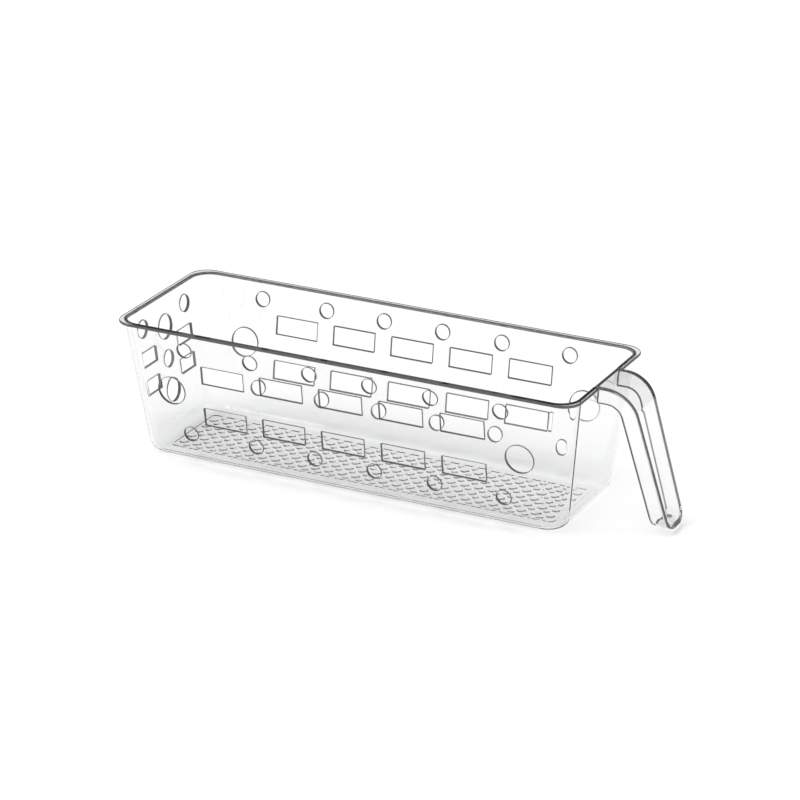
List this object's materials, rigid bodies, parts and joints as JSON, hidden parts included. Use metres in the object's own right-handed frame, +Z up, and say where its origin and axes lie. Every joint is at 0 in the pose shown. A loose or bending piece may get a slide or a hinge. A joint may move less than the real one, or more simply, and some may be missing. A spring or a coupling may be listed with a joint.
{
  "type": "fridge bin",
  "caption": "Long narrow clear bin with perforated walls, a studded floor, a rim lip and a drop-down channel-section pull handle on one end.",
  "frame": {"origin": "centre of the flat underside of the bin, which rests on the shelf", "axes": "+X along the bin towards the handle, +Y across the bin, +Z up"},
  "size_m": [0.3512, 0.1078, 0.0883],
  "materials": {
    "clear_plastic": "clear colourless moulded plastic, polished"
  },
  "bodies": {
    "root": {"floor_pan": "clear_plastic", "front_wall": "clear_plastic", "back_wall": "clear_plastic", "plain_end_wall": "clear_plastic", "handle_end_wall": "clear_plastic", "handle": "clear_plastic"}
  },
  "joints": []
}
